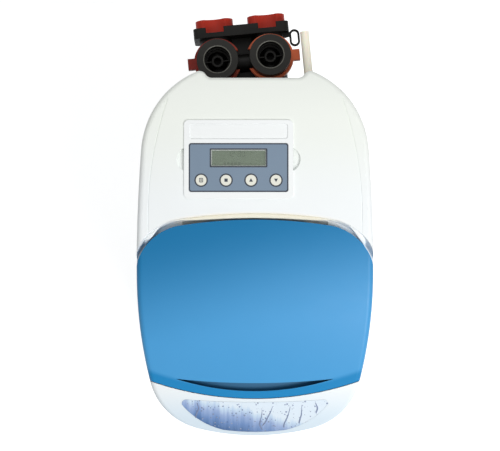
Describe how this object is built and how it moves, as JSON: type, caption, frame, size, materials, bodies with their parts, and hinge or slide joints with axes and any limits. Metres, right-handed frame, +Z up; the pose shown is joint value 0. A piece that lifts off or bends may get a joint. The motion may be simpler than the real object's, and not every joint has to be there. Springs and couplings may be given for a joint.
{
  "type": "cabinet water softener",
  "caption": "Water softener in a tall cabinet with rounded ends, hinged blue salt lid, sloping control panel, and a bypass valve with red knobs behind it.",
  "frame": {"origin": "on the floor, under the middle of the cabinet from nose to rear shoulders and from side to side", "axes": "+Z up, +Y towards the pipes at the back, +X to the right seen from the front"},
  "size_m": [0.33, 0.6176, 0.6693],
  "materials": {
    "cover_white": "satin",
    "lid_blue": "satin",
    "cabinet_white": "fine texture",
    "window_blue": "printed, gloss",
    "bezel_white": "satin",
    "fascia_grey": "satin film",
    "lens_grey": "clear",
    "display_green": "matt",
    "button_cream": "soft",
    "board_green": "lacquer",
    "tank_blue": "wound fibre",
    "black_plastic": "satin",
    "red_plastic": "satin",
    "natural_plastic": "satin",
    "resin_amber": "beads",
    "steel": "plain",
    "black_rubber": "matt",
    "gear_white": "satin"
  },
  "bodies": {
    "softener": {"bottom_strainer": "natural_plastic", "brine_elbow": "natural_plastic", "brine_line": "natural_plastic", "brine_valve": "natural_plastic", "brine_well": "cabinet_white", "bypass_body": "black_plastic", "bypass_plate": "black_plastic", "cabinet": "cabinet_white", "cable_guide": "black_plastic", "cover_screws": "steel", "display_board": "board_green", "drain_elbow": "natural_plastic", "drain_tube": "natural_plastic", "drive_bracket": "black_plastic", "drive_motor": "steel", "elbow_seals": "black_rubber", "flow_straighteners": "black_plastic", "front_window": "window_blue", "gear_axle": "steel", "hinge_pins": "steel", "injector": "natural_plastic", "injector_cap": "black_plastic", "lcd_lens": "lens_grey", "lcd_module": "display_green", "lid_bumpers": "black_rubber", "locking_clips": "red_plastic", "overflow_elbow": "natural_plastic", "overflow_nut": "natural_plastic", "panel_bezel": "bezel_white", "panel_fascia": "fascia_grey", "pod_back_cover": "bezel_white", "port_elbow": "black_plastic", "power_grommet": "black_rubber", "resin_bed": "resin_amber", "resin_tank": "tank_blue", "riser_tube": "natural_plastic", "salt_grid": "natural_plastic", "seal_stack": "black_rubber", "tank_boot": "black_plastic", "top_cover": "cover_white", "top_strainer": "natural_plastic", "union_ring_left": "black_plastic", "union_ring_right": "black_plastic", "valve_body": "black_plastic"},
    "salt_lid": {"salt_lid": "lid_blue"},
    "menu_button": {"button_menu": "button_cream"},
    "stop_button": {"button_stop": "button_cream"},
    "up_button": {"button_up": "button_cream"},
    "down_button": {"button_down": "button_cream"},
    "bypass_left": {"bypass_rotor_left": "black_plastic", "bypass_knob_left": "red_plastic"},
    "bypass_right": {"bypass_rotor_right": "black_plastic", "bypass_knob_right": "red_plastic"},
    "main_gear": {"main_gear": "gear_white"},
    "reduction_gear": {"reduction_gear": "gear_white"},
    "motor_pinion": {"motor_pinion": "gear_white"},
    "piston": {"valve_piston": "natural_plastic"},
    "safety_float": {"safety_float": "natural_plastic"},
    "well_cap": {"brine_well_cap": "cabinet_white"}
  },
  "joints": [
    {"name": "lid_hinge", "type": "hinge", "parent": "softener", "child": "salt_lid", "pos_m": [0, 0.0385, 0.65397], "axis": [-1, 0, 0], "range_deg": [0, 78]},
    {"name": "menu_press", "type": "slide", "parent": "softener", "child": "menu_button", "axis": [0, 0.0523, -0.9986], "range_m": [0, 0.0012], "stiffness_N_per_m": 400},
    {"name": "stop_press", "type": "slide", "parent": "softener", "child": "stop_button", "axis": [0, 0.0523, -0.9986], "range_m": [0, 0.0012], "stiffness_N_per_m": 400},
    {"name": "up_press", "type": "slide", "parent": "softener", "child": "up_button", "axis": [0, 0.0523, -0.9986], "range_m": [0, 0.0012], "stiffness_N_per_m": 400},
    {"name": "down_press", "type": "slide", "parent": "softener", "child": "down_button", "axis": [0, 0.0523, -0.9986], "range_m": [0, 0.0012], "stiffness_N_per_m": 400},
    {"name": "bypass_left_turn", "type": "hinge", "parent": "softener", "child": "bypass_left", "pos_m": [-0.05346, 0.28268, 0.545], "axis": [-0.0941, 0.9956, 0], "range_deg": [0, 90]},
    {"name": "bypass_right_turn", "type": "hinge", "parent": "softener", "child": "bypass_right", "pos_m": [0.0224, 0.28985, 0.545], "axis": [-0.0941, 0.9956, 0], "range_deg": [0, 90]},
    {"name": "main_gear_turn", "type": "hinge", "parent": "softener", "child": "main_gear", "pos_m": [0.00565, 0.06227, 0.515], "axis": [-0.0941, 0.9956, 0], "range_deg": [0, 360]},
    {"name": "reduction_turn", "type": "hinge", "parent": "softener", "child": "reduction_gear", "pos_m": [0.00565, 0.06227, 0.551], "axis": [-0.0941, 0.9956, 0], "range_deg": [-1081, 1]},
    {"name": "pinion_turn", "type": "hinge", "parent": "softener", "child": "motor_pinion", "pos_m": [0.03153, 0.06471, 0.551], "axis": [-0.0941, 0.9956, 0], "range_deg": [-1, 3601]},
    {"name": "piston_slide", "type": "slide", "parent": "softener", "child": "piston", "axis": [-0.0941, 0.9956, 0], "range_m": [-0.00005, 0.02405]},
    {"name": "float_slide", "type": "slide", "parent": "softener", "child": "safety_float", "axis": [0, 0, 1], "range_m": [0, 0.06]},
    {"name": "well_cap_lift", "type": "slide", "parent": "softener", "child": "well_cap", "axis": [0, 0, 1], "range_m": [0, 0.06]}
  ],
  "couplings": [
    {"joint": "reduction_turn", "follows": "main_gear_turn", "ratio": -3},
    {"joint": "pinion_turn", "follows": "main_gear_turn", "ratio": 10},
    {"joint": "piston_slide", "follows": "main_gear_turn", "m_per_rad": 0.0038197}
  ]
}
